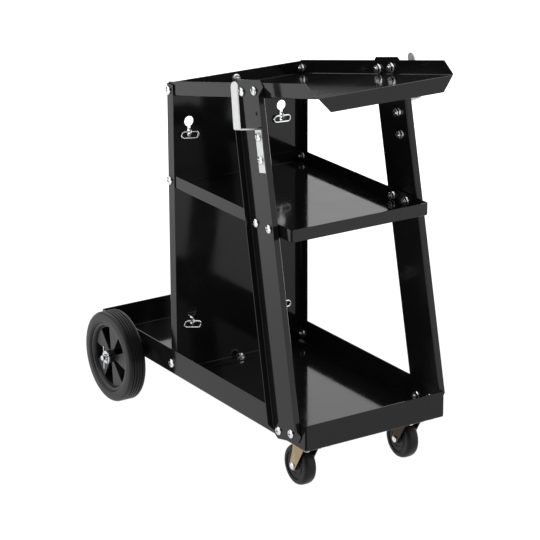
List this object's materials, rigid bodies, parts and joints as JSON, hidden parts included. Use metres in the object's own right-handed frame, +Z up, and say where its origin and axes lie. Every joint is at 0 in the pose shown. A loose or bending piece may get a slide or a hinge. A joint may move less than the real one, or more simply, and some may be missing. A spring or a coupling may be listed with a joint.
{
  "type": "welding cart",
  "caption": "Tiered welding cart of folded sheet steel: sloped top tray, shelf, bottom tray with gas-bottle bay and chains, cable hooks, spoked rear wheels, swivel casters.",
  "frame": {"origin": "on the floor, under the centre of the bounding box", "axes": "+Z up; -Y towards the front, where the casters and the top tray's lip are; +Y towards the rear wheels and the bottle bay; left and right as seen from the front, so left is -X"},
  "size_m": [0.424, 0.7418, 0.7481],
  "materials": {
    "black_powder_coat": "smooth high-gloss powder coat on folded sheet steel",
    "zinc_plate": "bright to matt zinc plate on steel",
    "yellow_zinc": "yellow passivated zinc on pressed steel",
    "tyre_rubber": "matt moulded solid rubber",
    "rim_plastic": "fine-grained moulded plastic",
    "caster_rubber": "satin moulded rubber with ring ribs"
  },
  "bodies": {
    "frame": {"bottom_tray": "black_powder_coat", "middle_shelf": "black_powder_coat", "back_panel": "black_powder_coat", "top_tray": "black_powder_coat", "left_leg": "black_powder_coat", "right_leg": "black_powder_coat", "left_axle_saddle": "black_powder_coat", "right_axle_saddle": "black_powder_coat", "left_cable_hook": "zinc_plate", "right_cable_hook": "zinc_plate", "rear_axle": "zinc_plate", "left_axle_washer": "zinc_plate", "right_axle_washer": "zinc_plate", "left_split_pin": "zinc_plate", "right_split_pin": "zinc_plate", "upper_left_end_link": "zinc_plate", "upper_left_slot_link": "zinc_plate", "upper_right_end_link": "zinc_plate", "upper_right_slot_link": "zinc_plate", "lower_left_end_link": "zinc_plate", "lower_left_slot_link": "zinc_plate", "lower_right_end_link": "zinc_plate", "lower_right_slot_link": "zinc_plate", "left_caster_plate": "yellow_zinc", "right_caster_plate": "yellow_zinc"},
    "left_rear_wheel": {"left_tyre": "tyre_rubber", "left_wheel_rim": "rim_plastic"},
    "left_caster_swivel": {"left_caster_fork": "yellow_zinc", "left_caster_axle": "zinc_plate"},
    "left_front_wheel": {"left_caster_wheel": "caster_rubber"},
    "right_rear_wheel": {"right_tyre": "tyre_rubber", "right_wheel_rim": "rim_plastic"},
    "right_caster_swivel": {"right_caster_fork": "yellow_zinc", "right_caster_axle": "zinc_plate"},
    "right_front_wheel": {"right_caster_wheel": "caster_rubber"},
    "upper_bottle_chain": {"upper_chain": "zinc_plate"},
    "lower_bottle_chain": {"lower_chain": "zinc_plate"}
  },
  "joints": [
    {"name": "left_rear_wheel_spin", "type": "hinge", "parent": "frame", "child": "left_rear_wheel", "pos_m": [-0.1817, 0.2619, 0.0875], "axis": [1, 0, 0], "continuous": true},
    {"name": "left_caster_turn", "type": "hinge", "parent": "frame", "child": "left_caster_swivel", "pos_m": [-0.111, -0.2947, 0.081], "axis": [0, 0, 1], "continuous": true},
    {"name": "left_front_wheel_spin", "type": "hinge", "parent": "left_caster_swivel", "child": "left_front_wheel", "pos_m": [-0.111, -0.2715, 0.0375], "axis": [1, 0, 0], "continuous": true},
    {"name": "right_rear_wheel_spin", "type": "hinge", "parent": "frame", "child": "right_rear_wheel", "pos_m": [0.1817, 0.2619, 0.0875], "axis": [1, 0, 0], "continuous": true},
    {"name": "right_caster_turn", "type": "hinge", "parent": "frame", "child": "right_caster_swivel", "pos_m": [0.111, -0.2947, 0.081], "axis": [0, 0, 1], "continuous": true},
    {"name": "right_front_wheel_spin", "type": "hinge", "parent": "right_caster_swivel", "child": "right_front_wheel", "pos_m": [0.111, -0.2715, 0.0375], "axis": [1, 0, 0], "continuous": true},
    {"name": "upper_chain_swing", "type": "hinge", "parent": "frame", "child": "upper_bottle_chain", "pos_m": [0, 0.1322, 0.5533], "axis": [1, 0, 0], "range_deg": [0, 45]},
    {"name": "lower_chain_swing", "type": "hinge", "parent": "frame", "child": "lower_bottle_chain", "pos_m": [0, 0.1322, 0.1853], "axis": [1, 0, 0], "range_deg": [0, 45]}
  ]
}
